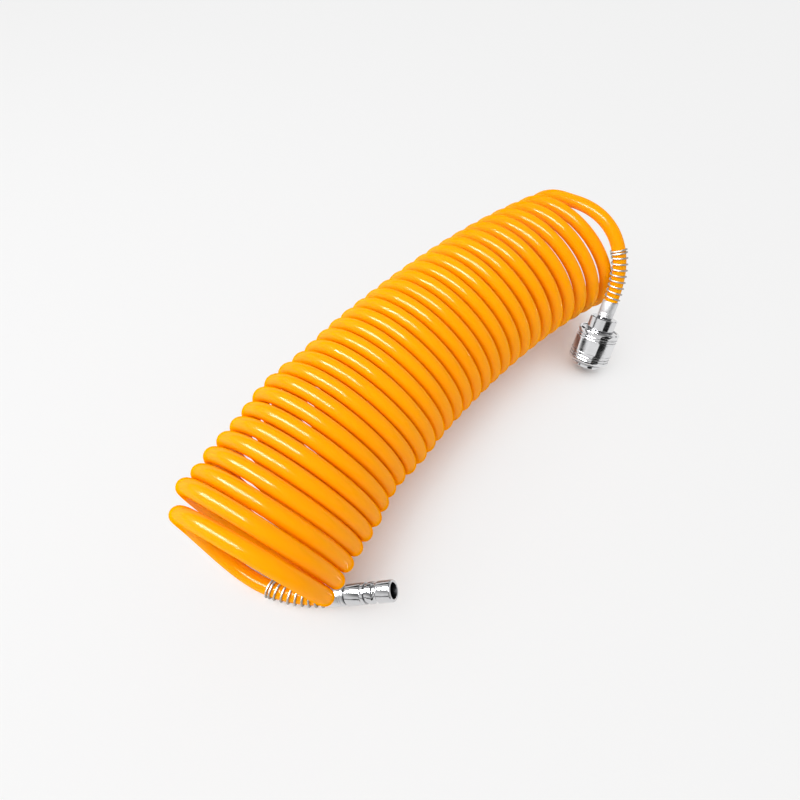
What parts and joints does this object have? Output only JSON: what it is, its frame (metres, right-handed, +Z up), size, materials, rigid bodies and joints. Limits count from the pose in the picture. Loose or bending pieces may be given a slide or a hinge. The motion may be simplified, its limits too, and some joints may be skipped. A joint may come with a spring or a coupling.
{
  "type": "recoil air hose",
  "caption": "Recoil air hose: coiled yellow-orange tube with spring guards, crimped ferrules, a quick-coupling plug and a pull-back sleeve socket.",
  "frame": {"origin": "centre of the part's box in plan, on the surface that the coil rests on", "axes": "+X along the coil towards the socket's end, +Y away from the fittings' side, +Z up"},
  "size_m": [0.3172, 0.131, 0.0892],
  "materials": {
    "hose": "glossy yellow-orange polyurethane tube",
    "guard_wire": "bright plated spring wire",
    "ferrule_metal": "bright crimped steel sleeve, fine turning lines",
    "plug_chrome": "polished nickel plate",
    "body_chrome": "polished nickel plate",
    "sleeve_chrome": "polished nickel plate",
    "seal_rubber": "black nitrile rubber",
    "spring_steel": "drawn spring steel",
    "valve_metal": "turned steel",
    "ball_steel": "polished bearing steel"
  },
  "bodies": {
    "root": {"hose_coil": "hose", "hose_tail_plug": "hose", "hose_tail_socket": "hose", "spring_guard_plug": "guard_wire", "spring_guard_socket": "guard_wire", "ferrule_plug": "ferrule_metal", "ferrule_socket": "ferrule_metal", "plug_body": "plug_chrome", "socket_body": "body_chrome", "socket_tail": "body_chrome", "tail_oring": "seal_rubber", "snap_ring": "spring_steel", "bore_packing": "seal_rubber", "valve_spring": "spring_steel"},
    "sleeve_carriage": {"sleeve_spring": "spring_steel"},
    "sleeve": {"sleeve": "sleeve_chrome"},
    "valve": {"valve_poppet": "valve_metal", "valve_seal": "seal_rubber"},
    "ball_1": {"lock_ball_1": "ball_steel"},
    "ball_2": {"lock_ball_2": "ball_steel"},
    "ball_3": {"lock_ball_3": "ball_steel"},
    "ball_4": {"lock_ball_4": "ball_steel"},
    "ball_5": {"lock_ball_5": "ball_steel"},
    "ball_6": {"lock_ball_6": "ball_steel"}
  },
  "joints": [
    {"name": "sleeve_pull", "type": "slide", "parent": "root", "child": "sleeve_carriage", "axis": [0.4975, 0.1333, 0.8572], "range_m": [0, 0.0035], "stiffness_N_per_m": 2000, "springref_m": -0.004, "deforming": ["sleeve_spring"]},
    {"name": "sleeve_turn", "type": "hinge", "parent": "sleeve_carriage", "child": "sleeve", "pos_m": [0.09883, -0.05123, 0.01786], "axis": [0.4975, 0.1333, 0.8572], "continuous": true},
    {"name": "valve_push", "type": "slide", "parent": "root", "child": "valve", "axis": [0.4975, 0.1333, 0.8572], "range_m": [0, 0.003], "stiffness_N_per_m": 600, "springref_m": -0.003, "deforming": ["valve_spring"]},
    {"name": "ball_1_out", "type": "slide", "parent": "root", "child": "ball_1", "axis": [0.828, 0.2219, -0.515], "range_m": [0, 0.00075]},
    {"name": "ball_2_out", "type": "slide", "parent": "root", "child": "ball_2", "axis": [0.1898, 0.9474, -0.2575], "range_m": [0, 0.00075]},
    {"name": "ball_3_out", "type": "slide", "parent": "root", "child": "ball_3", "axis": [-0.6381, 0.7256, 0.2575], "range_m": [0, 0.00075]},
    {"name": "ball_4_out", "type": "slide", "parent": "root", "child": "ball_4", "axis": [-0.828, -0.2219, 0.515], "range_m": [0, 0.00075]},
    {"name": "ball_5_out", "type": "slide", "parent": "root", "child": "ball_5", "axis": [-0.1898, -0.9474, 0.2575], "range_m": [0, 0.00075]},
    {"name": "ball_6_out", "type": "slide", "parent": "root", "child": "ball_6", "axis": [0.6381, -0.7256, -0.2575], "range_m": [0, 0.00075]}
  ],
  "couplings": [
    {"joint": "ball_1_out", "follows": "sleeve_pull", "ratio": 0.21429},
    {"joint": "ball_2_out", "follows": "sleeve_pull", "ratio": 0.21429},
    {"joint": "ball_3_out", "follows": "sleeve_pull", "ratio": 0.21429},
    {"joint": "ball_4_out", "follows": "sleeve_pull", "ratio": 0.21429},
    {"joint": "ball_5_out", "follows": "sleeve_pull", "ratio": 0.21429},
    {"joint": "ball_6_out", "follows": "sleeve_pull", "ratio": 0.21429}
  ]
}
